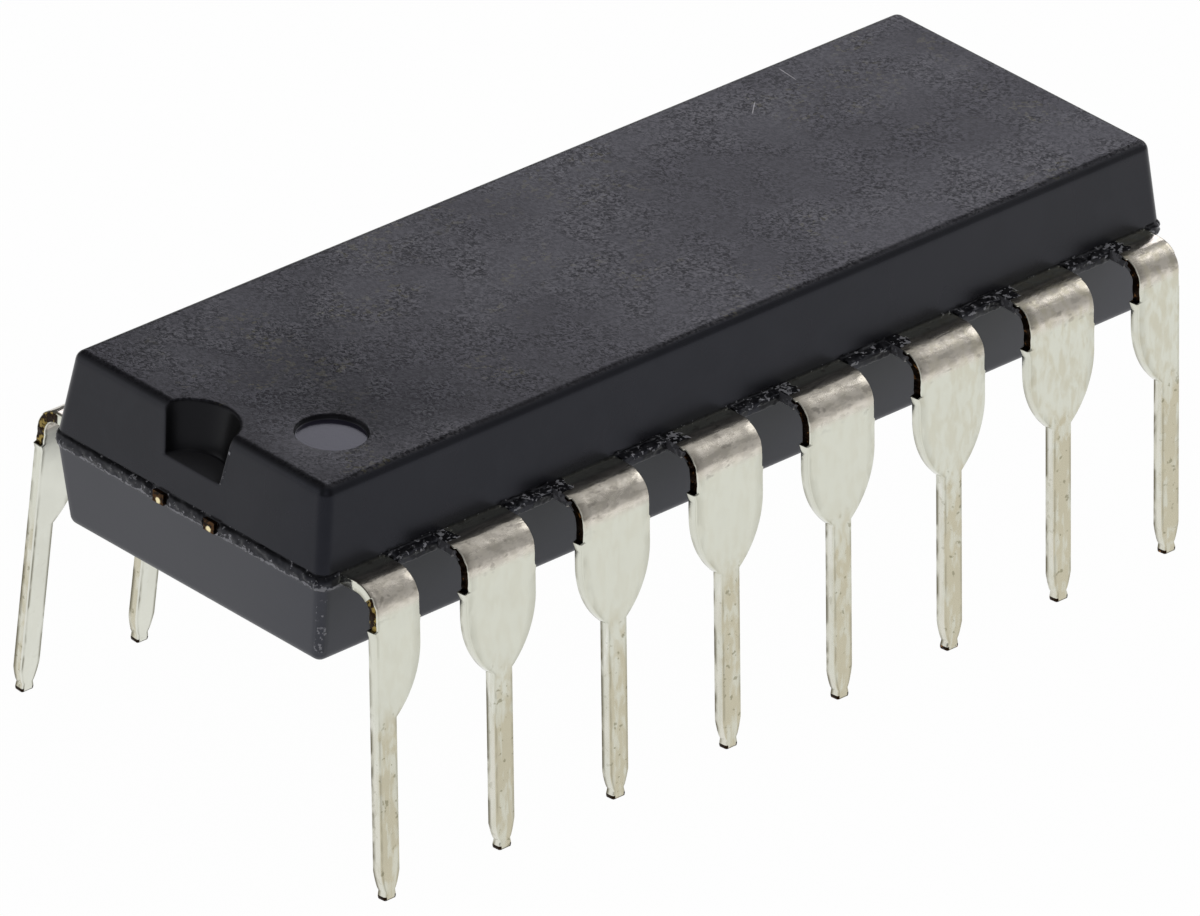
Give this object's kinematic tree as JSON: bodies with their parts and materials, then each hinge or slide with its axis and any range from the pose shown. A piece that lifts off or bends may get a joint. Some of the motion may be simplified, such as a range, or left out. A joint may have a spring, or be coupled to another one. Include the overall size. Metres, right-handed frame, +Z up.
{
  "type": "dual in-line integrated circuit package",
  "caption": "Plastic dual in-line integrated circuit package with formed, splayed through-hole leads, an end notch and a lead 1 dot.",
  "frame": {"origin": "centre of the part in plan, in the plane of the lead tips", "axes": "+X along the body away from the notch, +Y towards the row of leads 9 to 16, +Z up out of the top face"},
  "size_m": [0.0192, 0.0088, 0.007],
  "materials": {
    "epoxy": "fine spark-eroded matte",
    "plated_lead": "matte tin over copper alloy",
    "copper_frame": "bare copper alloy",
    "die_bond": "silver-filled epoxy",
    "silicon": "polished silicon",
    "gold_wire": "bright gold"
  },
  "bodies": {
    "root": {"body": "epoxy", "die_pad": "copper_frame", "die_attach": "die_bond", "die": "silicon", "lead_1": "plated_lead", "lead_2": "plated_lead", "lead_3": "plated_lead", "lead_4": "plated_lead", "lead_5": "plated_lead", "lead_6": "plated_lead", "lead_7": "plated_lead", "lead_8": "plated_lead", "lead_9": "plated_lead", "lead_10": "plated_lead", "lead_11": "plated_lead", "lead_12": "plated_lead", "lead_13": "plated_lead", "lead_14": "plated_lead", "lead_15": "plated_lead", "lead_16": "plated_lead", "bond_wire_1": "gold_wire", "bond_wire_2": "gold_wire", "bond_wire_3": "gold_wire", "bond_wire_4": "gold_wire", "bond_wire_5": "gold_wire", "bond_wire_6": "gold_wire", "bond_wire_7": "gold_wire", "bond_wire_8": "gold_wire", "bond_wire_9": "gold_wire", "bond_wire_10": "gold_wire", "bond_wire_11": "gold_wire", "bond_wire_12": "gold_wire", "bond_wire_13": "gold_wire", "bond_wire_14": "gold_wire", "bond_wire_15": "gold_wire", "bond_wire_16": "gold_wire"}
  },
  "joints": []
}
